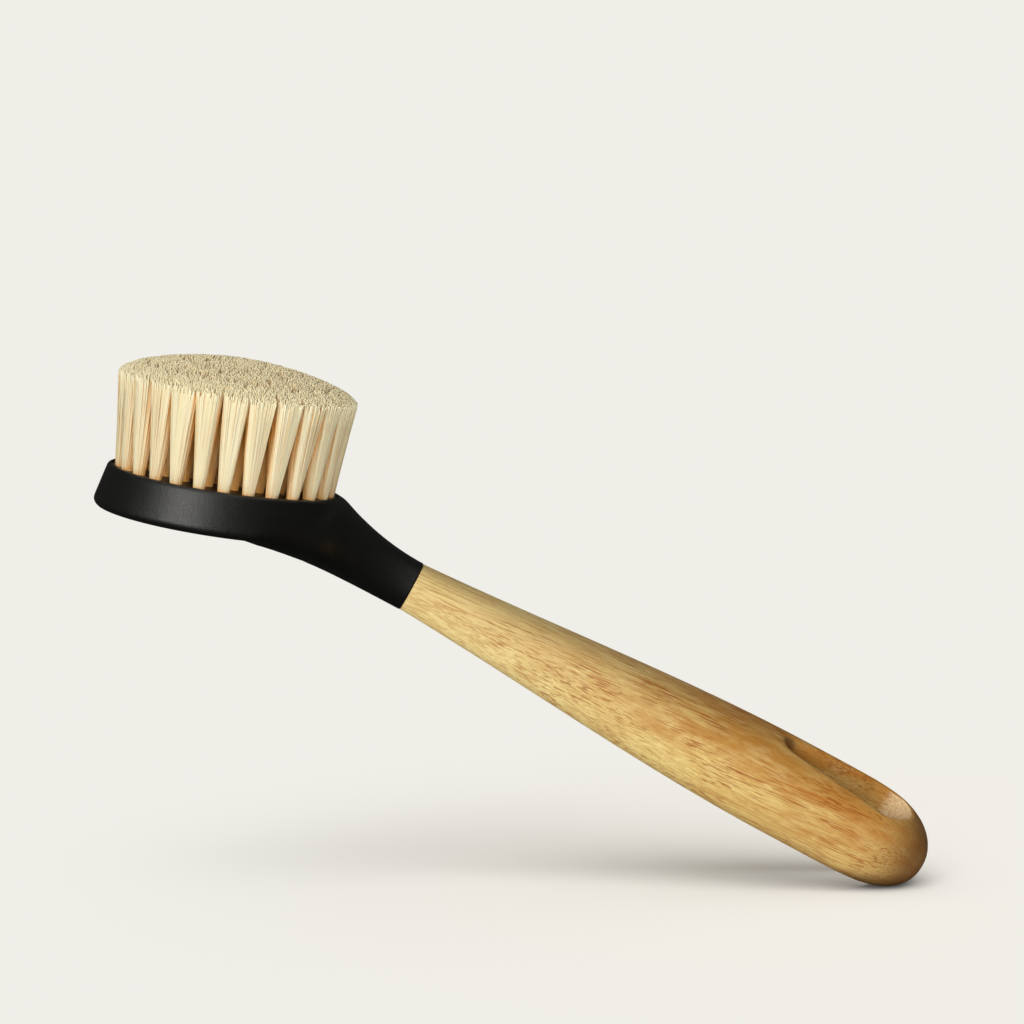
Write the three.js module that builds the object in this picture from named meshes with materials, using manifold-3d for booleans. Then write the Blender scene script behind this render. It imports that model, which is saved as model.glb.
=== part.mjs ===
// Pan brush: a round head of stapled bristle tufts on a moulded neck, and a wooden
// handle glued into the neck, with a slot near its butt to hang the brush by.
// Millimetres, +Z up. The brush leans as it lies on a table on the butt of its handle.
import * as THREE from 'three';
import { mergeVertices } from 'three/addons/utils/BufferGeometryUtils.js';
import Module from 'manifold-3d';

const wasm = await Module();
wasm.setup();

// Gap that is left between pieces that are pressed or glued together
const clearance = 0.3;

// Head: a low round dish whose wall leans in towards the rim
const rimRadius = 32.9;
const footRadius = 35.3;
const headHeight = 12.2;
const rimRound = 0.8;
const footRound = 2;
const rimWall = 1;
const trayDepth = 2.2;

// Neck: runs down from the head to a round socket for the handle
const neckReach = 20.6;
const neckFall = 9.9;
const neckSlope = THREE.MathUtils.degToRad(19.6);
const socketRadius = 7.2;
const socketLip = 0.5;
const shoulderWidth = 46;
const neckSquareness = 2.2;

// Handle: swells from the seam to the grip and ends in a rounded butt
const handleLength = 164;
const seamThickness = 13.7;
const gripThickness = 26.2;
const gripWidth = 32;
const gripFrom = 120;
const seamFlare = 0.05;
const buttRound = 24;
const buttDrop = 0.6;
const handleSquareness = 2.35;
const buttSquareness = 2.3;
const handleTurn = THREE.MathUtils.degToRad(15);
const tenonRadius = 5;
const tenonLength = 18;

// Hanging slot: a teardrop through the handle, rounded over at both faces
const slotToButt = 20;
const slotLength = 26.5;
const slotWidth = 18;
const slotTipWidth = 8;
const slotEdgeRound = 3;

// Bristles: rings of tufts, each folded over a flat wire anchor in a blind hole
const bristleLength = 27.7;
const trimDome = 6;
const tuftsPerRing = [27, 18, 9];
const ringNames = ['outer', 'middle', 'inner'];
const ringPitch = 8.6;
const ringStagger = 0.5;
const tuftWidth = 2.8;
const discThickness = 1.6;
const tuftEdge = 1;
const rootLength = 5.2;
const anchorThickness = 0.45;
const anchorHeight = 2;
const strandsPerTuft = 9;
const strandWidth = 0.76;
const strandTipWidth = 0.6;
const tuftTipWidth = 6.2;
const tuftTipDepths = [5.4, 7, 8.4];
const tuftSplay = 1.4;

// Pose: how far the head's deck leans towards the handle
const headLean = THREE.MathUtils.degToRad(8.9);

// Facets
const headSegments = 60;
const cornerSegments = 3;
const sectionSegments = 28;
const strandSides = 3;
const rootSides = 6;

// Lengths that follow from the sizes above
const trayRadius = rimRadius - rimWall;
const discRadius = trayRadius - clearance;
const discTop = discThickness + clearance - trayDepth;
const tuftRadius = tuftWidth / 2;
const anchorLength = tuftWidth - clearance;
const outerRing = discRadius - tuftEdge - tuftRadius;
const seam = new THREE.Vector2(footRadius + neckReach, -headHeight - neckFall);

// Solids: closed three.js meshes as bodies that can be joined and cut
function solidOf(geometry) {
  const bare = geometry.clone();
  bare.deleteAttribute('normal');
  bare.deleteAttribute('uv');
  const merged = mergeVertices(bare);
  const corners = merged.index.array;
  const triangles = [];
  for (let i = 0; i < corners.length; i += 3) {
    const [a, b, c] = corners.subarray(i, i + 3);
    if (a !== b && b !== c && c !== a) triangles.push(a, b, c);
  }
  return new wasm.Manifold(new wasm.Mesh({
    numProp: 3,
    vertProperties: new Float32Array(merged.attributes.position.array),
    triVerts: new Uint32Array(triangles),
  }));
}

function geometryOf(solid) {
  const mesh = solid.getMesh();
  const geometry = new THREE.BufferGeometry();
  geometry.setAttribute('position', new THREE.BufferAttribute(mesh.vertProperties, mesh.numProp));
  geometry.setIndex(new THREE.BufferAttribute(mesh.triVerts, 1));
  geometry.computeVertexNormals();
  return geometry;
}

const join = (solids) => solids.reduce((whole, solid) => whole.add(solid));
const cut = (whole, solids) => solids.reduce((rest, solid) => rest.subtract(solid), whole);

// A closed skin over rings of points, each ring counter-clockwise about the way they follow
function loft(rings) {
  const count = rings[0].length;
  const last = (rings.length - 1) * count;
  const triangles = [];
  for (let ring = 0; ring < last; ring += count) {
    for (let j = 0; j < count; j += 1) {
      const k = (j + 1) % count;
      triangles.push(ring + j, ring + k, ring + count + k);
      triangles.push(ring + j, ring + count + k, ring + count + j);
    }
  }
  for (let j = 1; j < count - 1; j += 1) {
    triangles.push(0, j + 1, j);
    triangles.push(last, last + j, last + j + 1);
  }
  const geometry = new THREE.BufferGeometry().setFromPoints(rings.flat());
  return geometry.setIndex(triangles);
}

// An oval section across X, with its own height above and below the axis
function ovalSection(x, halfWidth, above, below, squareness) {
  const soften = (value) => Math.sign(value) * Math.abs(value) ** (2 / squareness);
  const ring = [];
  for (let i = 0; i < sectionSegments; i += 1) {
    const angle = (2 * Math.PI * i) / sectionSegments;
    const height = Math.sin(angle) > 0 ? above : below;
    ring.push(new THREE.Vector3(x, halfWidth * soften(Math.cos(angle)), height * soften(Math.sin(angle))));
  }
  return ring;
}

// Rise of an arc that leaves the axis level and has climbed by rise after run
function arcRise(distance, run, rise) {
  const radius = (run * run + rise * rise) / (2 * rise);
  return radius - Math.sqrt(radius * radius - distance * distance);
}

function cylinderZ(radius, height, sides, bottom) {
  const geometry = new THREE.CylinderGeometry(radius, radius, height, sides);
  return geometry.rotateX(Math.PI / 2).translate(0, 0, bottom + height / 2);
}

// Head and neck

// The dish, turned about Z, with the rim's plane at z = 0
function headDish() {
  const outline = new THREE.Path();
  outline.moveTo(0, -headHeight);
  outline.lineTo(footRadius - footRound, -headHeight);
  outline.absarc(footRadius - footRound, footRound - headHeight, footRound, -Math.PI / 2, 0);
  outline.lineTo(rimRadius, -rimRound);
  outline.absarc(rimRadius - rimRound, -rimRound, rimRound, 0, Math.PI / 2);
  outline.lineTo(0, 0);
  const profile = outline.getPoints(cornerSegments);
  return new THREE.LatheGeometry(profile, headSegments).rotateX(Math.PI / 2);
}

// Puts something made along the handle's axis, seam at x = 0, into the head's frame
const handleFrame = new THREE.Matrix4()
  .makeRotationY(neckSlope)
  .setPosition(seam.x, 0, seam.y);

// The neck leaves the socket round and level, and its top lands on the rim's edge
function neckBody() {
  const toRim = new THREE.Vector3(rimRadius, 0, 0).applyMatrix4(handleFrame.clone().invert());
  const landing = -toRim.x;
  const deckAbove = (x) => (-seam.y + x * Math.sin(neckSlope)) / Math.cos(neckSlope) - trayDepth;
  const runOut = (-seam.y + socketRadius * Math.cos(neckSlope) - headHeight) / Math.sin(neckSlope);
  const steps = 16;
  const rings = [];
  for (let i = 0; i <= steps; i += 1) {
    const x = -runOut * (1 - i / steps);
    const arc = Math.min(-x, landing);
    const above = socketRadius + arcRise(arc, landing, toRim.z - socketRadius);
    const side = socketRadius + arcRise(arc, landing, shoulderWidth / 2 - socketRadius);
    const top = -x > landing ? Math.min(above, deckAbove(x)) : above;
    rings.push(ovalSection(x, side, top, socketRadius, neckSquareness));
  }
  const end = rings.pop()[0].x;
  rings.push(ovalSection(end - socketLip, socketRadius, socketRadius, socketRadius, neckSquareness));
  const lipRadius = socketRadius - socketLip;
  rings.push(ovalSection(end, lipRadius, lipRadius, lipRadius, neckSquareness));
  return loft(rings).applyMatrix4(handleFrame);
}

// The socket is bored along the handle's axis
function socketBore() {
  const depth = tenonLength + clearance;
  const bore = cylinderZ(tenonRadius + clearance, 2 * depth, sectionSegments, -depth);
  return bore.rotateY(Math.PI / 2).applyMatrix4(handleFrame);
}

// Tufts: where each one stands, and which way it faces

function tuftPlaces(ring) {
  const radius = outerRing - ring * ringPitch;
  const count = tuftsPerRing[ring];
  const places = [];
  for (let i = 0; i < count; i += 1) {
    const angle = (2 * Math.PI * (i + ringStagger * (ring + 1))) / count;
    places.push({ radius, angle });
  }
  return places;
}

const allTufts = ringNames.flatMap((name, ring) => tuftPlaces(ring));

function atTuft(geometry, { radius, angle }) {
  return geometry.translate(radius, 0, 0).rotateZ(angle);
}

// Sides of a root are flat, so its hole grows by the gap measured across the flats
const rootBottom = discTop - rootLength;
const holeRadius = tuftRadius + clearance / Math.cos(Math.PI / rootSides);

function tuftHole(place) {
  const bottom = rootBottom - clearance;
  return atTuft(cylinderZ(holeRadius, -bottom, rootSides, bottom), place);
}

function brushHead() {
  const whole = join([solidOf(headDish()), solidOf(neckBody())]);
  const tray = cylinderZ(trayRadius, 2 * trayDepth, headSegments, -trayDepth);
  const holes = allTufts.map(tuftHole);
  return geometryOf(cut(whole, [tray, socketBore(), ...holes].map(solidOf)));
}

// A slice of the tufted disc that carries one ring of tufts
function discSlice(ring) {
  const middle = outerRing - ring * ringPitch;
  const last = tuftsPerRing.length - 1;
  const outside = ring === 0 ? discRadius : middle + (ringPitch - clearance) / 2;
  const inside = ring === last ? clearance : middle - (ringPitch - clearance) / 2;
  const profile = [
    new THREE.Vector2(inside, discTop - discThickness),
    new THREE.Vector2(outside, discTop - discThickness),
    new THREE.Vector2(outside, discTop),
    new THREE.Vector2(inside, discTop),
    new THREE.Vector2(inside, discTop - discThickness),
  ];
  return new THREE.LatheGeometry(profile, headSegments / 2).rotateX(Math.PI / 2);
}

// The folded end of a tuft, slotted from below for its anchor
function tuftRoot(place) {
  const root = cylinderZ(tuftRadius, rootLength - discThickness / 2, rootSides, rootBottom);
  const slotHeight = anchorHeight + clearance;
  const slot = new THREE.BoxGeometry(anchorThickness + 2 * clearance, 2 * tuftWidth, 2 * slotHeight);
  slot.translate(0, 0, rootBottom);
  return cut(solidOf(atTuft(root, place)), [solidOf(atTuft(slot, place))]);
}

// The bristles are trimmed to a slight dome
function trimmedTip(place, deep, wide) {
  const reach = Math.hypot(place.radius + deep, wide) / rimRadius;
  return new THREE.Vector3(deep, wide, bristleLength + trimDome * (1 - reach * reach));
}

function strand(base, tip) {
  const triangle = (centre, width) => {
    const ring = [];
    for (let i = 0; i < strandSides; i += 1) {
      const angle = (2 * Math.PI * i) / strandSides;
      ring.push(new THREE.Vector3(Math.cos(angle), Math.sin(angle), 0).multiplyScalar(width / 2).add(centre));
    }
    return ring;
  };
  return loft([triangle(base, strandWidth), triangle(tip, strandTipWidth)]);
}

// Strands of one tuft: one in the middle and the rest around it, spreading to the trimmed top
function tuftStrands(ring, place) {
  const around = strandsPerTuft - 1;
  const foot = discTop - discThickness / 2;
  const footRing = tuftRadius - strandWidth / 2;
  const splay = tuftSplay * (place.radius / outerRing);
  const strands = [strand(new THREE.Vector3(0, 0, foot), trimmedTip(place, splay, 0))];
  for (let i = 0; i < around; i += 1) {
    const angle = (2 * Math.PI * i) / around;
    const base = new THREE.Vector3(Math.cos(angle) * footRing, Math.sin(angle) * footRing, foot);
    const deep = splay + Math.cos(angle) * (tuftTipDepths[ring] / 2);
    const wide = Math.sin(angle) * (tuftTipWidth / 2);
    strands.push(strand(base, trimmedTip(place, deep, wide)));
  }
  return strands.map((geometry) => solidOf(atTuft(geometry, place)));
}

function bristleRing(ring) {
  const places = tuftPlaces(ring);
  const roots = places.map(tuftRoot);
  const strands = places.flatMap((place) => tuftStrands(ring, place));
  return geometryOf(join([solidOf(discSlice(ring)), ...roots, ...strands]));
}

function tuftAnchor(place) {
  const wire = new THREE.BoxGeometry(anchorThickness, anchorLength, anchorHeight);
  return atTuft(wire.translate(0, 0, rootBottom + anchorHeight / 2), place);
}

// Handle

// Swell from the size at the seam to the size at the grip, leaving the seam at a slight flare
function swell(x, atSeam, atGrip) {
  const t = Math.min(x / gripFrom, 1);
  const ease = t * t * (3 - 2 * t);
  const flare = seamFlare * gripFrom * t * (1 - t) ** 2;
  return (atSeam + (atGrip - atSeam) * ease) / 2 + flare;
}

function handleSection(x) {
  const t = Math.max(0, (x - handleLength + buttRound) / buttRound);
  const round = (1 - t ** buttSquareness) ** (1 / buttSquareness);
  const halfThick = swell(x, seamThickness, gripThickness) * round;
  const halfWidth = swell(x, seamThickness, gripWidth) * round;
  const drop = buttDrop * t * t;
  const ring = ovalSection(x, halfWidth, halfThick, halfThick, handleSquareness);
  return ring.map((point) => point.setZ(point.z - drop));
}

function handleBlank() {
  const bodySteps = 18;
  const buttSteps = 9;
  const buttStart = handleLength - buttRound;
  const rings = [];
  for (let i = 0; i < bodySteps; i += 1) {
    rings.push(handleSection(clearance + ((buttStart - clearance) * i) / bodySteps));
  }
  for (let i = 0; i < buttSteps; i += 1) {
    rings.push(handleSection(buttStart + buttRound * Math.sin((Math.PI / 2) * (i / buttSteps))));
  }
  return loft(rings);
}

function tenon() {
  return cylinderZ(tenonRadius, 2 * tenonLength, sectionSegments, -tenonLength).rotateY(Math.PI / 2);
}

// Two arcs, the wide one towards the butt, joined by straight sides
function teardrop(grow, z) {
  const wide = slotWidth / 2 + grow;
  const narrow = slotTipWidth / 2 + grow;
  const wideX = handleLength - slotToButt;
  const tipX = wideX - slotLength;
  const lean = Math.acos((narrow - wide) / slotLength);
  const steps = 10;
  const ring = [];
  for (let i = 0; i <= steps; i += 1) {
    const angle = lean * ((2 * i) / steps - 1);
    ring.push(new THREE.Vector3(wideX + wide * Math.cos(angle), wide * Math.sin(angle), z));
  }
  for (let i = 0; i <= steps; i += 2) {
    const angle = lean + (2 * Math.PI - 2 * lean) * (i / steps);
    ring.push(new THREE.Vector3(tipX + narrow * Math.cos(angle), narrow * Math.sin(angle), z));
  }
  return ring;
}

// The slot widens towards both faces along a quarter round
function hangingSlot() {
  const face = gripThickness / 2;
  const steps = 5;
  const levels = [];
  for (let i = 0; i <= steps; i += 1) {
    const angle = (Math.PI / 2) * (i / steps);
    levels.push({
      grow: slotEdgeRound * (1 - Math.cos(angle)),
      z: face - slotEdgeRound + slotEdgeRound * Math.sin(angle),
    });
  }
  levels.push({ grow: slotEdgeRound, z: face + slotEdgeRound });
  const upper = levels.map(({ grow, z }) => teardrop(grow, z));
  const lower = levels.map(({ grow, z }) => teardrop(grow, -z)).reverse();
  return loft([...lower, ...upper]);
}

function woodenHandle() {
  const whole = join([solidOf(handleBlank()), solidOf(tenon())]);
  return geometryOf(cut(whole, [solidOf(hangingSlot())]));
}

// Materials

const blackPlastic = () => new THREE.MeshStandardMaterial({ color: 0x151617, roughness: 0.55, metalness: 0 });
const tanWood = () => new THREE.MeshStandardMaterial({ color: 0xc08f4e, roughness: 0.5, metalness: 0 });
const creamBristle = () => new THREE.MeshStandardMaterial({ color: 0xe3cfa2, roughness: 0.6, metalness: 0 });
const wireSteel = () => new THREE.MeshStandardMaterial({ color: 0xb9b6ae, roughness: 0.35, metalness: 1 });

function piece(name, geometry, material) {
  const mesh = new THREE.Mesh(geometry, material);
  mesh.name = name;
  return mesh;
}

// Assembly: the head's frame leans, and the handle's frame hangs from it at the seam

const head = new THREE.Group();
head.rotation.y = headLean;
head.add(piece('brush_head', brushHead(), blackPlastic()));
ringNames.forEach((name, ring) => {
  head.add(piece(`${name}_bristles`, bristleRing(ring), creamBristle()));
});
allTufts.forEach((place, i) => {
  const number = String(i + 1).padStart(2, '0');
  head.add(piece(`tuft_anchor_${number}`, tuftAnchor(place), wireSteel()));
});

const handleMount = new THREE.Group();
handleMount.applyMatrix4(handleFrame);
const handle = piece('wooden_handle', woodenHandle(), tanWood());
handle.rotation.x = handleTurn;
handleMount.add(handle);
head.add(handleMount);

// The finished brush rests on z = 0 with its box centred over the origin
const brush = new THREE.Group();
brush.add(head);
brush.updateMatrixWorld(true);
const box = new THREE.Box3().setFromObject(brush, true);
const middle = box.getCenter(new THREE.Vector3());
brush.position.set(-middle.x, -middle.y, -box.min.z);

export default brush;
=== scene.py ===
# Pan brush: the visual model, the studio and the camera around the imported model.
# Metres, +Z up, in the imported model's own frame.
import math
import random

import bmesh
import bpy
from mathutils import Matrix, Vector, noise
from mathutils.bvhtree import BVHTree


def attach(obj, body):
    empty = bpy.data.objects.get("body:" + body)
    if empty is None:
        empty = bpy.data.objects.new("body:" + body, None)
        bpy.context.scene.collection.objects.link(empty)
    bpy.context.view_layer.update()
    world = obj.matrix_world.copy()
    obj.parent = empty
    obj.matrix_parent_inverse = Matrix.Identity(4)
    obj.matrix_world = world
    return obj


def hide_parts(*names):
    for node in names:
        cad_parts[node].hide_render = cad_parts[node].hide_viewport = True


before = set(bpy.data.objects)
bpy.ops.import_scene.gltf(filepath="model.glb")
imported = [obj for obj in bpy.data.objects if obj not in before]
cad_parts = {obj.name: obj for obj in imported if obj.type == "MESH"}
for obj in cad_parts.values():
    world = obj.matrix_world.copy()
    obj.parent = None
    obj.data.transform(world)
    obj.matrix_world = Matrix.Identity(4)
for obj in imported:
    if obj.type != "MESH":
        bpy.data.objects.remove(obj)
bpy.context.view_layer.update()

MM = 0.001

# Head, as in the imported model: a round dish with the rim's plane at z = 0
RIM_RADIUS = 32.9 * MM
FOOT_RADIUS = 35.3 * MM
HEAD_HEIGHT = 12.2 * MM
RIM_ROUND = 0.8 * MM
FOOT_ROUND = 2 * MM
RIM_WALL = 1 * MM
TRAY_DEPTH = 2.2 * MM
TRAY_RADIUS = RIM_RADIUS - RIM_WALL

# Neck and socket
NECK_REACH = 20.6 * MM
NECK_FALL = 9.9 * MM
NECK_SLOPE = math.radians(19.6)
SOCKET_RADIUS = 7.2 * MM
SOCKET_LIP = 0.5 * MM
SHOULDER_WIDTH = 46 * MM
NECK_SQUARENESS = 2.2
NECK_FILLET = 6 * MM
UNDERSIDE_LEVEL = -HEAD_HEIGHT / 3
CREASE_REACH = 30 * MM
CREASE_TURN = math.radians(74)
EDGE_FADE = 13 * MM
EDGE_END = 21 * MM

# Handle
CLEARANCE = 0.3 * MM
SEAM_SPARE = 2 * MM
SEAM_GAP = 0.05 * MM
HANDLE_LENGTH = 163.7 * MM
SEAM_THICKNESS = 13.7 * MM
GRIP_THICKNESS = 26.2 * MM
GRIP_WIDTH = 32 * MM
GRIP_FROM = 120 * MM
SEAM_FLARE = 0.05
BUTT_ROUND = 23.7 * MM
BUTT_DROP = 0.6 * MM
HANDLE_SQUARENESS = 2.35
BUTT_SQUARENESS = 2.3
HANDLE_TURN = math.radians(15)
FIBRE_TILT = math.radians(4)
TENON_RADIUS = 5 * MM
TENON_LENGTH = 18 * MM

# Hanging slot
SLOT_WIDE_END = 144 * MM
SLOT_LENGTH = 26.5 * MM
SLOT_WIDTH = 18 * MM
SLOT_TIP_WIDTH = 8 * MM
SLOT_EDGE_ROUND = 3 * MM
SLOT_FILLET = 1.5 * MM

# Tufted disc, and the dome that the bristles are trimmed to
DISC_RADIUS = TRAY_RADIUS - CLEARANCE
DISC_THICKNESS = 1.6 * MM
DISC_TOP = DISC_THICKNESS + CLEARANCE - TRAY_DEPTH
DISC_BEVEL = 0.4 * MM
BRISTLE_LENGTH = 27.7 * MM
TRIM_DOME = 6 * MM
TRIM_ROUND = 1.2 * MM
TRIM_ROUND_POWER = 16

# Tufts
OUTER_RING = 29.2 * MM
RING_PITCH = 8.6 * MM
TUFT_FOOT = 1.55 * MM
FOOT_DEPTH = 0.6 * MM
TUFT_SWAY = 0.35 * MM
TIP_FILL = 0.96
TIP_FILL_SPREAD = (0.95, 1.12)
TIP_SQUARENESS = 0.92
OUTWARD_PULL = 0.7

# Each ring of tufts: radius at the foot, tufts, first angle in pitches, and the inner and outer radius
# that its trimmed tips fill
RINGS = {
    "outer_tufts": [(OUTER_RING, 27, 0.5, 26.4 * MM, 33.2 * MM)],
    "middle_tufts": [(OUTER_RING - RING_PITCH, 18, 0, 17.4 * MM, 26.0 * MM)],
    "inner_tufts": [
        (OUTER_RING - 2 * RING_PITCH, 9, 0.5, 8.4 * MM, 17.0 * MM),
        (4 * MM, 4, 0.5, 0.4 * MM, 8.2 * MM),
    ],
}

# Filaments of a tuft: widths at the foot, half-way and tip, and how far they stray
FILAMENTS = 340
FILAMENT_WIDTHS = (0.26 * MM, 0.37 * MM, 0.44 * MM)
WIDTH_SPREAD = 0.15
SPIN_STRAY = 0.25
TIP_STRAY = 0.1 * MM
TIP_UNEVENNESS = 0.4 * MM
FILAMENT_BOW = 0.08 * MM

# Core of a tuft: its lines and their points, its width and height as shares of the tuft's, and the share of
# the height that its top counts as in the material
CORE_LINES = 40
CORE_LEVELS = 5
CORE_SHARE = 0.96
CORE_TOP = 0.94
CORE_RISE = 0.7

# Pits in the trimmed top
PIT_SPACING = 2.6 * MM
PIT_DEPTH = 5 * MM
PIT_LEVEL = 0.1
PIT_EDGE_POWER = 6

# How fine the meshes are, and how often they are smoothed
HEAD_SEGMENTS = 180
NECK_SEGMENTS = 72
DECK_SEGMENTS = 120
HANDLE_SEGMENTS = 96
AXIS_RADIUS = 0.1 * MM
HEAD_VOXEL = 0.5 * MM
HANDLE_VOXEL = 0.45 * MM
RELAX_ROUNDS = 3
NECK_ROUNDS = 110
UNDERSIDE_ROUNDS = 120
SLOT_ROUNDS = 24

# Where the head's frame stands in the model, and the handle's frame in it
DECK_CENTRE = Vector((-80.328, 0, 114.878)) * MM
HEAD_LEAN = math.radians(8.9)
SEAM = Vector((FOOT_RADIUS + NECK_REACH, 0, -HEAD_HEIGHT - NECK_FALL))
HEAD_FRAME = Matrix.Translation(DECK_CENTRE) @ Matrix.Rotation(HEAD_LEAN, 4, "Y")
NECK_FRAME = Matrix.Translation(SEAM) @ Matrix.Rotation(NECK_SLOPE, 4, "Y")
HANDLE_FRAME = HEAD_FRAME @ NECK_FRAME @ Matrix.Rotation(HANDLE_TURN, 4, "X")

# Camera, from the photograph: its aim, pitch, distance and lens
AIM = DECK_CENTRE + Vector((79.8, 0, -9.5)) * MM
PITCH = math.radians(7)
CAMERA_DISTANCE = 1110 * MM
IMAGE_SIDE = 1024
FOCAL_PIXELS = 3986
SENSOR_WIDTH = 36


# Meshes

def new_object(name, points, faces):
    mesh = bpy.data.meshes.new(name)
    mesh.from_pydata(points, [], faces)
    mesh.update()
    obj = bpy.data.objects.new(name, mesh)
    bpy.context.scene.collection.objects.link(obj)
    return obj


def loft(rings, hollow=False):
    """Points and faces of a closed skin over rings of points. A hollow one joins its last ring to its
    first."""
    count = len(rings[0])
    points = [point for ring in rings for point in ring]
    last = len(points) - count
    faces = []
    for start in range(0, len(points) if hollow else last, count):
        after = (start + count) % len(points)
        for j in range(count):
            k = (j + 1) % count
            faces.append((start + j, start + k, after + k, after + j))
    if not hollow:
        faces.append(tuple(reversed(range(count))))
        faces.append(tuple(range(last, last + count)))
    return points, faces


def oval_ring(x, half_width, above, below, squareness, count):
    def soften(value):
        return math.copysign(abs(value) ** (2 / squareness), value)

    ring = []
    for i in range(count):
        angle = math.tau * i / count
        height = above if math.sin(angle) > 0 else below
        ring.append(Vector((x, half_width * soften(math.cos(angle)), height * soften(math.sin(angle)))))
    return ring


def round_ring(x, radius, squareness, count):
    return oval_ring(x, radius, radius, radius, squareness, count)


def lathe(profile, count):
    """Points and faces of a closed body turned about Z, from (radius, z) pairs that start low."""
    turns = [math.tau * i / count for i in range(count)]
    rings = []
    for radius, z in profile:
        rings.append([Vector((radius * math.cos(a), radius * math.sin(a), z)) for a in turns])
    return loft(rings)


def corner(centre_radius, centre_z, radius, start, end, steps=8):
    """A rounded corner of a lathe profile, angles in degrees."""
    angles = [math.radians(start + (end - start) * i / steps) for i in range(steps + 1)]
    return [(centre_radius + radius * math.cos(a), centre_z + radius * math.sin(a)) for a in angles]


def cylinder_x(radius, low, high, count=64):
    return loft([round_ring(x, radius, 2, count) for x in (low, high)])


def moved(body, matrix):
    points, faces = body
    return [matrix @ point for point in points], faces


def merged(*bodies):
    points, faces = [], []
    for body_points, body_faces in bodies:
        start = len(points)
        points += body_points
        faces += [tuple(start + i for i in face) for face in body_faces]
    return points, faces


def hull(points):
    """Points and faces of the closed skin stretched over some points."""
    bm = bmesh.new()
    for point in points:
        bm.verts.new(point)
    inside = bmesh.ops.convex_hull(bm, input=bm.verts)["geom_interior"]
    bmesh.ops.delete(bm, geom=inside, context="VERTS")
    bm.verts.index_update()
    body = [v.co.copy() for v in bm.verts], [tuple(v.index for v in face.verts) for face in bm.faces]
    bm.free()
    return body


def apply_modifier(obj, kind, **settings):
    modifier = obj.modifiers.new(kind.lower(), kind)
    for name, value in settings.items():
        setattr(modifier, name, value)
    depsgraph = bpy.context.evaluated_depsgraph_get()
    mesh = bpy.data.meshes.new_from_object(obj.evaluated_get(depsgraph))
    obj.modifiers.clear()
    obj.data = mesh


def add_body(obj, body):
    """Adds a closed body to an object's mesh, still separate from the rest of it."""
    extra = bpy.data.meshes.new("extra")
    extra.from_pydata(body[0], [], body[1])
    bm = bmesh.new()
    bm.from_mesh(obj.data)
    bm.from_mesh(extra)
    bm.to_mesh(obj.data)
    bm.free()
    bpy.data.meshes.remove(extra)


def fuse(obj, voxel):
    """One even skin over all the closed bodies in an object."""
    apply_modifier(obj, "REMESH", mode="VOXEL", voxel_size=voxel)


def cut(obj, body):
    cutter = new_object("cutter", *body)
    apply_modifier(obj, "BOOLEAN", operation="DIFFERENCE", object=cutter, solver="EXACT")
    bpy.data.objects.remove(cutter)


def smooth_once(bm, verts):
    bmesh.ops.smooth_vert(bm, verts=verts, factor=0.5, use_axis_x=True, use_axis_y=True, use_axis_z=True)


def relax(obj, rounds):
    """Evens out the whole skin."""
    bm = bmesh.new()
    bm.from_mesh(obj.data)
    for _ in range(rounds):
        smooth_once(bm, bm.verts)
    bm.to_mesh(obj.data)
    bm.free()


def fillet(obj, bodies, reach, rounds, below=math.inf, kept=None):
    """Rounds off where two bodies meet, below some height: most at the crease, and less towards the reach.
    kept says for a place what share of an edge there isn't worn down."""
    trees = [BVHTree.FromPolygons(*body) for body in bodies]
    bm = bmesh.new()
    bm.from_mesh(obj.data)
    low = [v for v in bm.verts if v.co.z < below]
    before = [(v, v.co.copy(), v.normal.copy()) for v in low]
    apart = [(max(tree.find_nearest(v.co)[3] for tree in trees), v) for v in low]
    for i in range(rounds):
        reached = reach * (1 - i / rounds)
        smooth_once(bm, [v for distance, v in apart if distance < reached])
    for v, place, normal in before:
        if kept and (v.co - place).dot(normal) < 0:
            v.co = v.co.lerp(place, kept(place))
    bm.to_mesh(obj.data)
    bm.free()


def shade(obj, sharp_angle=40):
    obj.data.shade_smooth()
    obj.data.set_sharp_from_angle(angle=math.radians(sharp_angle))


def finish_piece(obj, place, material, slot, *nodes):
    """Puts a piece in the model's frame with its material, under the root body, and hides the parts it
    replaces.
    """
    obj.data.transform(place)
    obj.data.materials.clear()
    obj.data.materials.append(material)
    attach(obj, "root")
    if nodes:
        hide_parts(*nodes)


# Head and neck

def arc_rise(distance, run, rise):
    radius = (run * run + rise * rise) / (2 * rise)
    return radius - math.sqrt(radius * radius - distance * distance)


def dish():
    profile = [(AXIS_RADIUS, -HEAD_HEIGHT), (FOOT_RADIUS - FOOT_ROUND, -HEAD_HEIGHT)]
    profile += corner(FOOT_RADIUS - FOOT_ROUND, FOOT_ROUND - HEAD_HEIGHT, FOOT_ROUND, -90, 0)
    profile += corner(RIM_RADIUS - RIM_ROUND, -RIM_ROUND, RIM_ROUND, 0, 90)
    profile.append((AXIS_RADIUS, 0))
    return lathe(profile, HEAD_SEGMENTS)


def neck_ring(x):
    """The neck some way back from the seam. Its top lands on the rim's edge."""
    to_rim = NECK_FRAME.inverted() @ Vector((RIM_RADIUS, 0, 0))
    landing = -to_rim.x
    arc = min(-x, landing)
    above = SOCKET_RADIUS + arc_rise(arc, landing, to_rim.z - SOCKET_RADIUS)
    side = SOCKET_RADIUS + arc_rise(arc, landing, SHOULDER_WIDTH / 2 - SOCKET_RADIUS)
    if -x > landing:
        under_tray = (-SEAM.z + x * math.sin(NECK_SLOPE)) / math.cos(NECK_SLOPE) - TRAY_DEPTH
        above = min(above, under_tray)
    return oval_ring(x, side, above, SOCKET_RADIUS, NECK_SQUARENESS, NECK_SEGMENTS)


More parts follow.
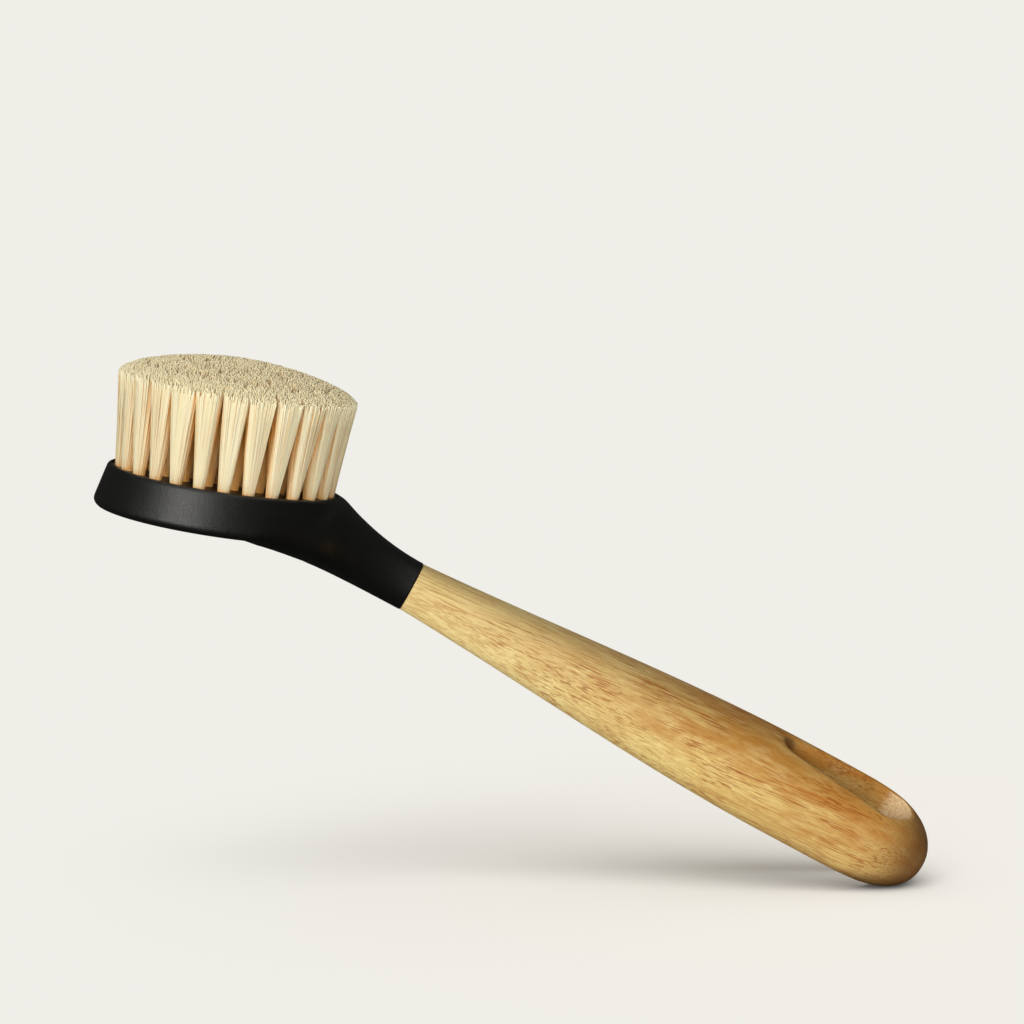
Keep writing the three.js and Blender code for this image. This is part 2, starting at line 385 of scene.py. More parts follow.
def neck():
    """Leaves the socket round and level, and runs out under the dish."""
    run_out = (-SEAM.z + SOCKET_RADIUS * math.cos(NECK_SLOPE) - HEAD_HEIGHT) / math.sin(NECK_SLOPE)
    steps = 60
    rings = [neck_ring(-run_out * (1 - i / steps)) for i in range(steps)]
    rings.append(round_ring(SEAM_SPARE, SOCKET_RADIUS, NECK_SQUARENESS, NECK_SEGMENTS))
    return moved(loft(rings), NECK_FRAME)


def crease_fill():
    """Fills the crease under the shoulder, from the dish's foot to where the neck narrows."""
    points = [NECK_FRAME @ point for point in neck_ring(-CREASE_REACH) if point.z <= 0]
    steps = 24
    for i in range(steps + 1):
        angle = CREASE_TURN * (2 * i / steps - 1)
        outward = Vector((math.cos(angle), math.sin(angle), 0))
        points.append(outward * (FOOT_RADIUS - FOOT_ROUND) - Vector((0, 0, HEAD_HEIGHT)))
        points.append(outward * FOOT_RADIUS - Vector((0, 0, HEAD_HEIGHT - FOOT_ROUND)))
    return hull(points)


def socket_end():
    """What is cut off at the seam to leave a flat end with a rounded lip."""
    outside = SOCKET_RADIUS + SEAM_SPARE
    steps = 8
    profile = [(0, AXIS_RADIUS)]
    for i in range(steps + 1):
        angle = math.pi / 2 * i / steps
        inset = SOCKET_LIP * (1 - math.sin(angle))
        profile.append((-SOCKET_LIP * (1 - math.cos(angle)), SOCKET_RADIUS - inset))
    profile += [(-SOCKET_LIP, outside), (2 * SEAM_SPARE, outside), (2 * SEAM_SPARE, AXIS_RADIUS)]
    rings = [round_ring(x, radius, NECK_SQUARENESS, NECK_SEGMENTS) for x, radius in profile]
    return moved(loft(rings), NECK_FRAME)


def foot_kept(place):
    """The dish's foot keeps its edge on both sides, and loses it towards the neck."""
    return min(max((EDGE_END - place.x) / (EDGE_END - EDGE_FADE), 0), 1)


def make_head(material):
    parts = (dish(), merged(neck(), crease_fill()))
    head = new_object("head", *merged(*parts))
    fuse(head, HEAD_VOXEL)
    relax(head, RELAX_ROUNDS)
    fillet(head, parts, NECK_FILLET, NECK_ROUNDS, kept=foot_kept)
    fillet(head, parts, NECK_FILLET, UNDERSIDE_ROUNDS, below=UNDERSIDE_LEVEL, kept=foot_kept)
    tray = lathe([(TRAY_RADIUS, -TRAY_DEPTH), (TRAY_RADIUS, TRAY_DEPTH)], HEAD_SEGMENTS)
    cut(head, tray)
    depth = TENON_LENGTH + CLEARANCE
    cut(head, moved(cylinder_x(TENON_RADIUS + CLEARANCE, -depth, depth), NECK_FRAME))
    cut(head, socket_end())
    shade(head)
    finish_piece(head, HEAD_FRAME, material, "head_plastic", "brush_head")


# Bristles

def make_deck(material):
    """The disc that the tufts stand in, slightly below the rim."""
    bottom = DISC_TOP - DISC_THICKNESS
    profile = [(AXIS_RADIUS, bottom), (DISC_RADIUS, bottom)]
    profile += corner(DISC_RADIUS - DISC_BEVEL, DISC_TOP - DISC_BEVEL, DISC_BEVEL, 0, 90)
    profile.append((AXIS_RADIUS, DISC_TOP))
    deck = new_object("tuft_deck", *lathe(profile, DECK_SEGMENTS))
    shade(deck)
    finish_piece(deck, HEAD_FRAME, material, "head_plastic")


def trimmed_height(x, y):
    """The bristles are trimmed to a dome, a little rounded over at its edge."""
    reach = math.hypot(x, y) / RIM_RADIUS
    return BRISTLE_LENGTH + TRIM_DOME * (1 - reach * reach) - TRIM_ROUND * reach ** TRIM_ROUND_POWER


def pit_depth(point):
    """Shallow pits where the trimmed filaments stand apart, none at the edge."""
    reach = math.hypot(point.x, point.y) / RIM_RADIUS
    deep = noise.noise(Vector((point.x, point.y, 0)) / PIT_SPACING) - PIT_LEVEL
    return PIT_DEPTH * max(deep, 0) * max(1 - reach ** PIT_EDGE_POWER, 0)


def square_off(u, v, amount):
    """Pulls points of the unit disc some way out towards the corners of a square."""
    biggest = max(abs(u), abs(v), 1e-9)
    stretch = 1 + amount * (math.hypot(u, v) / biggest - 1)
    return u * stretch, v * stretch


class Strands:
    """Gathers the filaments of one piece. Each point has a tone, its share of the height, and the way out
    of its tuft."""

    SIDES = 4

    def __init__(self):
        self.points = []
        self.faces = []
        self.tones = []
        self.rises = []
        self.outs = []

    def add(self, line, widths, tone, turn, out):
        start = len(self.points)
        for step, (centre, width) in enumerate(zip(line, widths)):
            for side in range(self.SIDES):
                angle = turn + math.tau * side / self.SIDES
                offset = Vector((math.cos(angle), math.sin(angle), 0)) * (width / 2)
                self.points.append(centre + offset)
                self.tones.append(tone)
                self.rises.append(step / (len(line) - 1))
                self.outs.append(out)
        for step in range(len(line) - 1):
            low = start + step * self.SIDES
            high = low + self.SIDES
            for side in range(self.SIDES):
                after = (side + 1) % self.SIDES
                self.faces.append((low + side, low + after, high + after, high + side))
        top = start + (len(line) - 1) * self.SIDES
        self.faces.append(tuple(top + side for side in range(self.SIDES)))
        self.faces.append(tuple(start + side for side in reversed(range(self.SIDES))))

    def add_core(self, lines, tones, outs):
        """A closed body over lines that stand in a ring, all of the same number of points."""
        start = len(self.points)
        levels = len(lines[0])
        for level in range(levels):
            for line, tone, out in zip(lines, tones, outs):
                self.points.append(line[level])
                self.tones.append(tone)
                self.outs.append(out)
                self.rises.append(CORE_RISE * level / (levels - 1))
        faces = loft(list(zip(*lines)))[1]
        self.faces += [tuple(start + i for i in face) for face in faces]

    def make(self, name):
        obj = new_object(name, self.points, self.faces)
        for label, values in (("tone", self.tones), ("rise", self.rises)):
            attribute = obj.data.attributes.new(label, "FLOAT", "POINT")
            attribute.data.foreach_set("value", values)
        outward = obj.data.attributes.new("outward", "FLOAT_VECTOR", "POINT")
        outward.data.foreach_set("vector", [part for out in self.outs for part in out])
        obj.data.shade_smooth()
        for edge in obj.data.edges:
            first, second = (self.rises[i] for i in edge.vertices)
            edge.use_edge_sharp = first == second and first in (0, 1)
        return obj


class Tuft:
    """One tuft: filaments that fan out from a hole to their own patch of the trimmed top."""

    def __init__(self, rng, radius, angle, width, inner, outer):
        self.rng = rng
        self.radius = radius
        self.turned = Matrix.Rotation(angle, 4, "Z")
        self.half_width = width / 2 * rng.uniform(*TIP_FILL_SPREAD)
        self.half_depth = (outer - inner) / 2
        self.middle = (inner + outer) / 2
        self.sway = rng.gauss(0, TUFT_SWAY)

    def ends(self, u, v, stray=0.0):
        """Foot and tip of the filament at a place in the unit disc."""
        foot = Vector((self.radius + u * TUFT_FOOT, v * TUFT_FOOT, DISC_TOP - FOOT_DEPTH))
        across, along = square_off(u, v, TIP_SQUARENESS)
        x = self.middle + across * self.half_depth + self.rng.gauss(0, stray)
        y = along * self.half_width + self.sway + self.rng.gauss(0, stray)
        return foot, Vector((x, y, trimmed_height(x, y)))

    def outward(self, spin):
        """The way out of the tuft at an angle around it, pulled some way out of the brush. It is in the
        model's frame."""
        way = Vector((math.cos(spin) + OUTWARD_PULL, math.sin(spin), 0))
        return HEAD_FRAME.to_3x3() @ self.turned.to_3x3() @ way

    def add_filaments(self, strands):
        golden = math.pi * (3 - math.sqrt(5))
        spread = (1 - WIDTH_SPREAD, 1 + WIDTH_SPREAD)
        for i in range(FILAMENTS):
            share = math.sqrt((i + 0.5) / FILAMENTS)
            spin = i * golden + self.rng.uniform(-SPIN_STRAY, SPIN_STRAY)
            foot, tip = self.ends(share * math.cos(spin), share * math.sin(spin), TIP_STRAY)
            tip.z -= abs(self.rng.gauss(0, TIP_UNEVENNESS)) + pit_depth(self.turned @ tip)
            bow = Vector((self.rng.gauss(0, FILAMENT_BOW), self.rng.gauss(0, FILAMENT_BOW), 0))
            line = [self.turned @ point for point in (foot, foot.lerp(tip, 0.5) + bow, tip)]
            widths = [width * self.rng.uniform(*spread) for width in FILAMENT_WIDTHS]
            turn = self.rng.uniform(0, math.tau)
            strands.add(line, widths, self.rng.random(), turn, self.outward(spin))

    def add_core(self, strands):
        """Fills the tuft behind its outer filaments, up to a little below the trimmed top."""
        angles = [math.tau * i / CORE_LINES for i in range(CORE_LINES)]
        heights = [CORE_TOP * level / (CORE_LEVELS - 1) for level in range(CORE_LEVELS)]
        lines = []
        for angle in angles:
            foot, tip = self.ends(CORE_SHARE * math.cos(angle), CORE_SHARE * math.sin(angle))
            lines.append([self.turned @ foot.lerp(tip, height) for height in heights])
        tones = [self.rng.random() for _ in lines]
        strands.add_core(lines, tones, [self.outward(angle) for angle in angles])


def make_tufts(name, rings, material, node):
    rng = random.Random(name)
    strands = Strands()
    for radius, tufts, first, inner, outer in rings:
        width = TIP_FILL * math.tau * (inner + outer) / 2 / tufts
        for i in range(tufts):
            tuft = Tuft(rng, radius, math.tau * (i + first) / tufts, width, inner, outer)
            tuft.add_core(strands)
            tuft.add_filaments(strands)
    finish_piece(strands.make(name), HEAD_FRAME, material, "bristle", node)


# Handle

def swell(x, at_seam, at_grip):
    t = min(x / GRIP_FROM, 1)
    ease = t * t * (3 - 2 * t)
    flare = SEAM_FLARE * GRIP_FROM * t * (1 - t) ** 2
    return (at_seam + (at_grip - at_seam) * ease) / 2 + flare


def handle_ring(x):
    t = max(0, (x - HANDLE_LENGTH + BUTT_ROUND) / BUTT_ROUND)
    rounding = max(1 - t ** BUTT_SQUARENESS, 0) ** (1 / BUTT_SQUARENESS)
    half_thick = swell(x, SEAM_THICKNESS, GRIP_THICKNESS) * rounding
    half_width = swell(x, SEAM_THICKNESS, GRIP_WIDTH) * rounding
    ring = oval_ring(x, half_width, half_thick, half_thick, HANDLE_SQUARENESS, HANDLE_SEGMENTS)
    return [point - Vector((0, 0, BUTT_DROP * t * t)) for point in ring]


def handle_blank():
    body_steps = 70
    butt_steps = 40
    butt_start = HANDLE_LENGTH - BUTT_ROUND
    rings = [handle_ring(butt_start * i / body_steps - SEAM_SPARE) for i in range(body_steps)]
    for i in range(butt_steps):
        rings.append(handle_ring(butt_start + BUTT_ROUND * math.sin(math.pi / 2 * i / butt_steps)))
    return loft(rings)


def teardrop(grow, z):
    """Two arcs, the wide one towards the butt, joined by straight sides."""
    wide = SLOT_WIDTH / 2 + grow
    narrow = SLOT_TIP_WIDTH / 2 + grow
    tip = SLOT_WIDE_END - SLOT_LENGTH
    lean = math.acos((narrow - wide) / SLOT_LENGTH)
    steps = 40
    ring = []
    for i in range(steps + 1):
        angle = lean * (2 * i / steps - 1)
        ring.append(Vector((SLOT_WIDE_END + wide * math.cos(angle), wide * math.sin(angle), z)))
    for i in range(steps + 1):
        angle = lean + (math.tau - 2 * lean) * i / steps
        ring.append(Vector((tip + narrow * math.cos(angle), narrow * math.sin(angle), z)))
    return ring


def hanging_slot():
    """Widens towards both faces along a quarter round."""
    face = GRIP_THICKNESS / 2
    steps = 16
    levels = []
    for i in range(steps + 1):
        angle = math.pi / 2 * i / steps
        height = face - SLOT_EDGE_ROUND + SLOT_EDGE_ROUND * math.sin(angle)
        levels.append((SLOT_EDGE_ROUND * (1 - math.cos(angle)), height))
    levels.append((SLOT_EDGE_ROUND, face + SLOT_EDGE_ROUND))
    lower = [teardrop(grow, -z) for grow, z in reversed(levels)]
    upper = [teardrop(grow, z) for grow, z in levels]
    return loft(lower + upper)


def shoulder():
    """What is cut away around the tenon, up to the flat end at the seam."""
    low = -TENON_LENGTH - SEAM_SPARE
    outside = SEAM_THICKNESS
    profile = [(low, TENON_RADIUS), (low, outside), (SEAM_GAP, outside), (SEAM_GAP, TENON_RADIUS)]
    return loft([round_ring(x, radius, 2, HANDLE_SEGMENTS) for x, radius in profile], hollow=True)


def make_handle(material):
    blank = handle_blank()
    slot = hanging_slot()
    tenon = cylinder_x(TENON_RADIUS + SEAM_SPARE / 2, -TENON_LENGTH, TENON_LENGTH)
    handle = new_object("handle", *blank)
    cut(handle, slot)
    add_body(handle, tenon)
    fuse(handle, HANDLE_VOXEL)
    relax(handle, RELAX_ROUNDS)
    fillet(handle, (blank, slot), SLOT_FILLET, SLOT_ROUNDS)
    cut(handle, shoulder())
    shade(handle)
    finish_piece(handle, HANDLE_FRAME, material, "handle_wood", "wooden_handle")


# Materials

class Nodes:
    """A short way to add and join shader nodes."""

    def __init__(self, tree):
        self.tree = tree
        tree.nodes.clear()

    def add(self, kind, inputs=None, **settings):
        node = self.tree.nodes.new("ShaderNode" + kind)
        for name, value in settings.items():
            setattr(node, name, value)
        for name, value in (inputs or {}).items():
            self.set(node.inputs[name], value)
        return node

    def set(self, socket, value):
        if isinstance(value, bpy.types.NodeSocket):
            self.tree.links.new(value, socket)
        else:
            socket.default_value = value

    def math(self, operation, a, b, clamp=False):
        node = self.add("Math", {0: a, 1: b}, operation=operation, use_clamp=clamp)
        return node.outputs[0]

    def mix(self, share, a, b, blend="MIX"):
        node = self.add("Mix", data_type="RGBA", blend_type=blend)
        for socket, value in zip((node.inputs[0], node.inputs[6], node.inputs[7]), (share, a, b)):
            self.set(socket, value)
        return node.outputs[2]

    def span(self, value, low, high, to_low=0.0, to_high=1.0):
        """A value's range low to high, eased onto another range."""
        inputs = {0: value, 1: low, 2: high, 3: to_low, 4: to_high}
        return self.add("MapRange", inputs, interpolation_type="SMOOTHSTEP").outputs[0]

    def noise(self, coordinates, scale, detail=2.0, roughness=0.5, distortion=0.0):
        """Noise from 0 to 1, its scale in blotches per metre along each axis."""
        mapped = self.add("Mapping", {"Vector": coordinates, "Scale": scale})
        inputs = {"Vector": mapped.outputs[0], "Scale": 1.0, "Detail": detail}
        inputs.update({"Roughness": roughness, "Distortion": distortion})
        return self.add("TexNoise", inputs).outputs["Fac"]


def new_material(name, place=Matrix()):
    """A material with its shader, and coordinates in a piece's own frame."""
    material = bpy.data.materials.new(name)
    material.use_nodes = True
    nodes = Nodes(material.node_tree)
    shader = nodes.add("BsdfPrincipled")
    nodes.add("OutputMaterial", {"Surface": shader.outputs[0]})
    model = nodes.add("TexCoord").outputs["Object"]
    back = place.inverted()
    turn = {"Vector": model, "Location": back.translation, "Rotation": back.to_euler()}
    return material, nodes, shader, nodes.add("Mapping", turn).outputs[0]


def rgb(red, green, blue):
    """A shader colour from a screen colour in 0 to 255."""
    def linear(value):
        value /= 255
        return value / 12.92 if value <= 0.04045 else ((value + 0.055) / 1.055) ** 2.4

    return (linear(red), linear(green), linear(blue), 1)


def black_plastic():
    """Satin black with the fine grain of a spark-eroded mould."""
    material, nodes, shader, place = new_material("black_plastic")
    grain = nodes.noise(place, (2000, 2000, 2000), detail=3, roughness=0.7)
    cloud = nodes.noise(place, (90, 90, 90), detail=3)
    nodes.set(shader.inputs["Base Color"], nodes.mix(cloud, rgb(5, 6, 5), rgb(9, 10, 8)))
    nodes.set(shader.inputs["Roughness"], nodes.span(grain, 0.3, 0.7, 0.4, 0.5))
    shader.inputs["Specular IOR Level"].default_value = 0.85
    bump = nodes.add("Bump", {"Height": grain, "Strength": 0.6, "Distance": 0.15 * MM})
    nodes.set(shader.inputs["Normal"], bump.outputs[0])
    return material


def cream_bristle():
    """Stiff cream filament: its own tone, paler at the trimmed end, and painted warm shade where filaments
    crowd.
    """
    material, nodes, shader, place = new_material("cream_bristle", HEAD_FRAME)
    tone = nodes.add("Attribute", attribute_name="tone").outputs["Fac"]
    rise = nodes.add("Attribute", attribute_name="rise").outputs["Fac"]
    streak = nodes.noise(place, (900, 900, 60), detail=2)
    # Occlusion that drives the painted warm shade between the filaments.
    occlusion_for_painted_shade = nodes.add("AmbientOcclusion", {"Distance": 10 * MM}, samples=6).outputs["AO"]
    body = nodes.mix(tone, rgb(231, 221, 181), rgb(236, 228, 198))
    body = nodes.mix(nodes.span(tone, 0.92, 0.97), body, rgb(222, 200, 148))
    body = nodes.mix(nodes.span(streak, 0.4, 0.7, 0.0, 0.22), body, rgb(228, 211, 162))
    body = nodes.mix(nodes.span(rise, 0.9, 1.0, 0.0, 0.7), body, rgb(250, 245, 212))
    # Painted warm shade: orange where the filaments shade each other, less towards the trimmed ends.
    painted_warm_shade = nodes.span(occlusion_for_painted_shade, 0.12, 0.62, 1.0, 0.0)
    painted_warm_shade = nodes.math("MULTIPLY", painted_warm_shade, nodes.span(rise, 0.7, 0.98, 1.0, 0.25))
    body = nodes.mix(painted_warm_shade, body, rgb(240, 166, 58))
    nodes.set(shader.inputs["Base Color"], body)
    nodes.set(shader.inputs["Roughness"], nodes.span(streak, 0.2, 0.8, 0.45, 0.6))
    nodes.set(shader.inputs["Normal"], tuft_normal(nodes, rise))
    shader.inputs["Specular IOR Level"].default_value = 0.3
    return material


def tuft_normal(nodes, rise):
    """Turns the sides of the filaments towards the way out of their tuft, except near the trimmed ends."""
    normal = nodes.add("NewGeometry").outputs["Normal"]
    outward = nodes.add("Attribute", attribute_name="outward").outputs["Vector"]
    turn = {"vector_type": "NORMAL", "convert_from": "OBJECT", "convert_to": "WORLD"}
    outward = nodes.add("VectorTransform", {"Vector": outward}, **turn).outputs[0]
    upright = HEAD_FRAME.to_3x3() @ Vector((0, 0, 1))
    facing_up = nodes.add("VectorMath", {0: normal, 1: upright}, operation="DOT_PRODUCT").outputs["Value"]
    share = nodes.span(facing_up, 0.3, 0.8, 1.5, 0.0)
    share = nodes.math("MULTIPLY", share, nodes.span(rise, 0.75, 0.95, 1.0, 0.0))
    pull = nodes.add("VectorMath", {0: outward, "Scale": share}, operation="SCALE").outputs[0]
    both = nodes.add("VectorMath", {0: normal, 1: pull}, operation="ADD").outputs[0]
    return nodes.add("VectorMath", {0: both}, operation="NORMALIZE").outputs[0]


def wood_clouds(nodes, place, parts):
    """Straw and orange clouds. Painted light: paler below and near the seam. Painted shade: browner near the
    butt.
    """
    # Painted light and shade: the clouds turn paler on the underside and browner on the upper side.
    upper = nodes.span(parts["Z"], -0.012, 0.012, -0.2, 0.12)
    cloud = nodes.noise(place, (36, 130, 130), detail=4, roughness=0.6, distortion=0.8)
    cloud = nodes.math("ADD", cloud, upper)
    straw = nodes.noise(place, (120, 300, 300), detail=3, roughness=0.6, distortion=0.2)
    colour = nodes.mix(nodes.span(cloud, 0.32, 0.7), rgb(224, 200, 128), rgb(186, 130, 56))
    colour = nodes.mix(nodes.span(straw, 0.46, 0.74, 0.0, 0.6), colour, rgb(226, 202, 138))
    # Painted light towards the seam, and painted shade towards the butt.
    colour = nodes.mix(nodes.span(parts["X"], 0.02, 0.11, 0.7, 0.0), colour, rgb(228, 210, 150))
    return nodes.mix(nodes.span(parts["X"], 0.09, 0.16, 0.0, 0.4), colour, rgb(172, 122, 58))


def wood_marks(nodes, place, fibre, along, facing):
    """Shares of flecks and of strokes. Both come in crowds, and are fewer near the seam and in the end wall
    of the slot."""
    fleck = nodes.noise(fibre, (150, 3000, 3000), detail=1)
    long_fleck = nodes.noise(fibre, (70, 2400, 2400), detail=1)
    stroke = nodes.noise(fibre, (60, 1300, 1300), detail=1)
    crowd = nodes.noise(place, (50, 160, 160), detail=2)
    sparse = nodes.span(crowd, 0.38, 0.6, 0.3, 1.0)
    sparse = nodes.math("MULTIPLY", sparse, nodes.span(along, 0.0, 0.07, 0.4, 1.0))
    sparse = nodes.math("MULTIPLY", sparse, nodes.span(facing, -0.6, -0.2, 0.25, 1.0))
    flecks = nodes.math("MAXIMUM", nodes.span(fleck, 0.58, 0.66), nodes.span(long_fleck, 0.6, 0.67))
    flecks = nodes.math("MULTIPLY", flecks, sparse)
    strokes = nodes.math("MULTIPLY", nodes.span(stroke, 0.6, 0.7, 0.0, 0.62), sparse)
    return flecks, strokes


def tan_wood():
    """Oiled golden wood: clouds, fine grain lines along X, and many thin brown flecks and strokes. The end
    wall of the slot has a painted highlight, the butt's end is end grain with painted shade, and the slot's
    hollow has painted shade."""
    material, nodes, shader, place = new_material("tan_wood", HANDLE_FRAME)
    parts = nodes.add("SeparateXYZ", {"Vector": place}).outputs
    fibre = nodes.add("Mapping", {"Vector": place, "Rotation": (0, FIBRE_TILT, 0)}).outputs[0]
    facing = along_grain(nodes)
    grain = nodes.noise(fibre, (30, 2200, 2200), detail=3, roughness=0.6)
    speckle = nodes.noise(fibre, (600, 2400, 2400), detail=2)
    flecks, strokes = wood_marks(nodes, place, fibre, parts["X"], facing)
    # Occlusion for the painted shade in the slot's hollow and other crevices.
    occlusion_for_painted_shade = nodes.add("AmbientOcclusion", {"Distance": 9 * MM}, samples=6).outputs["AO"]

    colour = wood_clouds(nodes, place, parts)
    # Painted highlight: the slot's end wall is paler where it faces the seam.
    colour = nodes.mix(nodes.span(facing, -0.15, -0.55, 0.0, 0.9), colour, rgb(242, 214, 170))
    colour = nodes.mix(nodes.span(grain, 0.42, 0.68, 0.0, 0.5), colour, rgb(184, 132, 60))
    colour = nodes.mix(nodes.span(speckle, 0.5, 0.72, 0.0, 0.35), colour, rgb(174, 122, 54))
    colour = nodes.mix(strokes, colour, rgb(168, 94, 30))
    colour = nodes.mix(nodes.math("MULTIPLY", flecks, 0.78), colour, rgb(146, 74, 16))
    # The butt's end: darker end grain, made browner still as painted shade.
    colour = nodes.mix(nodes.span(facing, 0.0, 0.65, 0.0, 0.85), colour, rgb(112, 72, 30))
    # Painted shade: browner where the surface is hemmed in, as in the hollow of the slot.
    colour = nodes.mix(nodes.span(occlusion_for_painted_shade, 0.25, 0.7, 0.8, 0.0), colour, rgb(100, 66, 26))
    nodes.set(shader.inputs["Base Color"], colour)
    nodes.set(shader.inputs["Roughness"], nodes.span(grain, 0.3, 0.7, 0.44, 0.56))
    shader.inputs["Specular IOR Level"].default_value = 0.3
    sunk = nodes.math("SUBTRACT", grain, flecks)
    bump = nodes.add("Bump", {"Height": sunk, "Strength": 0.3, "Distance": 0.1 * MM})
    nodes.set(shader.inputs["Normal"], bump.outputs[0])
    return material


def along_grain(nodes):
    """How far a surface faces along the grain: 1 at the butt's end, and -1 at the slot's wall there."""
    normal = nodes.add("NewGeometry").outputs["Normal"]
    along = HANDLE_FRAME.to_3x3() @ Vector((1, 0, 0))
    return nodes.add("VectorMath", {0: normal, 1: along}, operation="DOT_PRODUCT").outputs["Value"]


def anchor_steel():
    """Flat drawn wire, faintly streaked."""
    material, nodes, shader, place = new_material("anchor_steel")
    streak = nodes.noise(place, (3000, 3000, 400), detail=2)
    nodes.set(shader.inputs["Base Color"], nodes.mix(streak, rgb(170, 168, 164), rgb(204, 202, 196)))
    nodes.set(shader.inputs["Roughness"], nodes.span(streak, 0.3, 0.7, 0.3, 0.45))
    shader.inputs["Metallic"].default_value = 1
    return material


# Studio

WARM_LIGHT = (1, 0.985, 0.95)
WHITE_LIGHT = (1, 0.99, 0.97)
COOL_LIGHT = (0.96, 0.98, 1)
GLOW_LIGHT = (1, 0.96, 0.9)
ROOM_COLOUR = (1, 0.98, 0.95, 1)
FLOOR_COLOUR = rgb(240, 238, 232)
FLOOR_SHARE = 0.55
FLOOR_LIFT = 0.06
FLOOR_REACH = 60
GLOSS_SHARE = 0.02
ROOM_LIGHT = 0.12
ROOM_IN_GLOSS = 0.03
FADE_CENTRE = (0.1, 0, 0)
FADE_START = 0.08
FADE_END = 0.25


def darker(colour, share):
    return tuple(share * part for part in colour[:3]) + (1,)


def shows_background(nodes, path):
    """1 for the rays that see the pale background, and less for those that see it in gloss."""
    seen = nodes.math("ADD", path["Is Camera Ray"], path["Is Transmission Ray"], clamp=True)
    gloss = nodes.math("MULTIPLY", path["Is Glossy Ray"], GLOSS_SHARE)
    return nodes.math("ADD", seen, gloss, clamp=True)


def floor_material():
    """Pale floor that keeps the shadow around the butt and fades into the background further off."""
    material = bpy.data.materials.new("floor")
    material.use_nodes = True
    nodes = Nodes(material.node_tree)
    path = nodes.add("LightPath").outputs
    seen = shows_background(nodes, path)
    paint = darker(FLOOR_COLOUR, FLOOR_SHARE)
    in_gloss = darker(paint, GLOSS_SHARE)
    cloth = nodes.add("BsdfDiffuse", {"Color": nodes.mix(path["Is Glossy Ray"], paint, in_gloss)})
    lifted = nodes.math("MULTIPLY", seen, FLOOR_LIFT)
    lift = nodes.add("Emission", {"Color": FLOOR_COLOUR, "Strength": lifted})
    near = nodes.add("AddShader", {0: cloth.outputs[0], 1: lift.outputs[0]})
    far = nodes.add("Emission", {"Color": FLOOR_COLOUR, "Strength": 1.0})
    place = nodes.add("TexCoord").outputs["Object"]
    distance = nodes.add("VectorMath", {0: place, 1: FADE_CENTRE}, operation="DISTANCE").outputs["Value"]
    fade = nodes.math("MULTIPLY", nodes.span(distance, FADE_START, FADE_END), seen)
    both = nodes.add("MixShader", {0: fade, 1: near.outputs[0], 2: far.outputs[0]})
    nodes.add("OutputMaterial", {"Surface": both.outputs[0]})
    return material


def make_floor():
    reach = FLOOR_REACH
    corners = [(-reach, -reach, 0), (reach, -reach, 0), (reach, reach, 0), (-reach, reach, 0)]
    floor = new_object("floor", corners, [(0, 1, 2, 3)])
    floor.data.materials.append(floor_material())
    return floor


def make_world():
    """Dim, even room light, and a background as pale as the floor."""
    world = bpy.data.worlds.new("studio")
    world.use_nodes = True
    bpy.context.scene.world = world
    nodes = Nodes(world.node_tree)
    path = nodes.add("LightPath").outputs
    seen = shows_background(nodes, path)
    strength = nodes.span(path["Is Glossy Ray"], 0.0, 1.0, ROOM_LIGHT, ROOM_IN_GLOSS)
    room = nodes.add("Background", {"Color": ROOM_COLOUR, "Strength": strength})
    backdrop = nodes.add("Background", {"Color": FLOOR_COLOUR, "Strength": 1})
    both = nodes.add("MixShader", {0: seen, 1: room.outputs[0], 2: backdrop.outputs[0]})
    nodes.add("OutputWorld", {"Surface": both.outputs[0]})


def make_sun(name, azimuth, elevation, spread, strength, colour):
    """A soft light from azimuth, 0 at the camera and negative to its left, in degrees."""
    lamp = bpy.data.lights.new(name, "SUN")
    lamp.energy = strength
    lamp.angle = math.radians(spread)
    lamp.color = colour
    obj = bpy.data.objects.new(name, lamp)
    bpy.context.scene.collection.objects.link(obj)
    a, e = math.radians(azimuth), math.radians(elevation)
    towards = Vector((math.sin(a) * math.cos(e), -math.cos(a) * math.cos(e), math.sin(e)))
    obj.rotation_euler = towards.to_track_quat("Z", "Y").to_euler()
    return obj


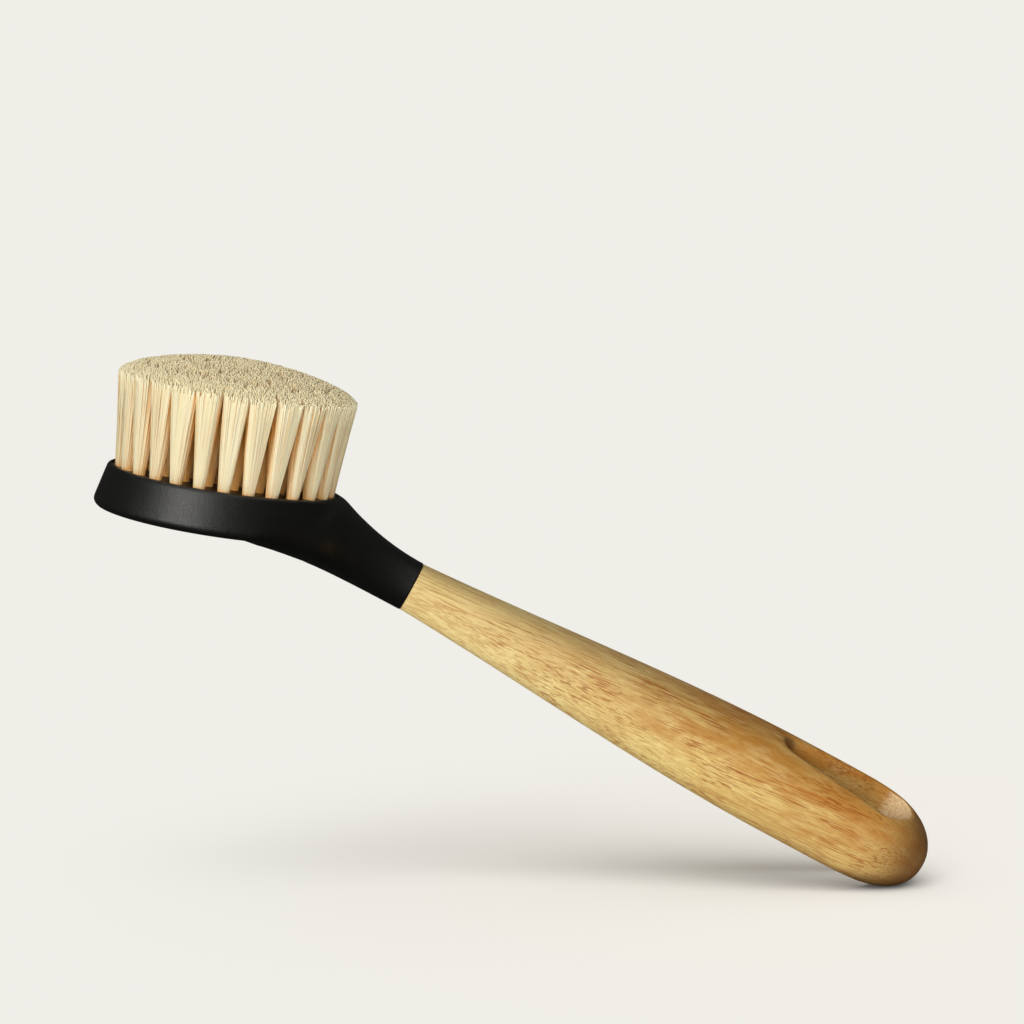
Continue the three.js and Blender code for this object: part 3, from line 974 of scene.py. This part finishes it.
def link_light(lamp, receiver, state):
    """Lets a lamp light only one object, or all but that one."""
    group = bpy.data.collections.new(lamp.name)
    group.objects.link(receiver)
    group.collection_objects[0].light_linking.link_state = state
    lamp.light_linking.receiver_collection = group


def make_lamps(floor):
    """The brush and the floor have lamps of their own, so that the shadow is as soft as in the photograph.
    The overhead lamp lights both."""
    key = make_sun("front_key", azimuth=-31, elevation=20, spread=20, strength=1.33, colour=WARM_LIGHT)
    link_light(key, floor, "EXCLUDE")
    front = make_sun("front_fill", azimuth=7, elevation=8, spread=36, strength=1.28, colour=WARM_LIGHT)
    back = make_sun("back_fill", azimuth=170, elevation=5, spread=36, strength=1.3, colour=WARM_LIGHT)
    for fill in (front, back):
        fill.visible_glossy = False
        link_light(fill, floor, "EXCLUDE")
    make_sun("overhead", azimuth=-8, elevation=62, spread=60, strength=0.5, colour=WHITE_LIGHT)
    above = make_sun("floor_key", azimuth=0, elevation=47, spread=70, strength=4, colour=COOL_LIGHT)
    glow = make_sun("floor_glow", azimuth=0, elevation=80, spread=120, strength=1.8, colour=GLOW_LIGHT)
    for lamp in (above, glow):
        link_light(lamp, floor, "INCLUDE")


def make_camera():
    camera = bpy.data.cameras.new("camera")
    camera.sensor_width = SENSOR_WIDTH
    camera.lens = SENSOR_WIDTH * FOCAL_PIXELS / IMAGE_SIDE
    camera.clip_end = 100
    obj = bpy.data.objects.new("camera", camera)
    bpy.context.scene.collection.objects.link(obj)
    back = Vector((0, -math.cos(PITCH), math.sin(PITCH)))
    obj.location = AIM + back * CAMERA_DISTANCE
    obj.rotation_euler = (-back).to_track_quat("-Z", "Y").to_euler()
    bpy.context.scene.camera = obj


# The scene

make_camera()
plastic = black_plastic()
bristle = cream_bristle()
make_head(plastic)
make_deck(plastic)
for piece, node in zip(RINGS, ("outer_bristles", "middle_bristles", "inner_bristles")):
    make_tufts(piece, RINGS[piece], bristle, node)
make_handle(tan_wood())
steel = anchor_steel()
for name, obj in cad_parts.items():
    if name.startswith("tuft_anchor"):
        obj.data.materials.clear()
        obj.data.materials.append(steel)

make_lamps(make_floor())
make_world()
bpy.context.scene.view_settings.view_transform = "Standard"
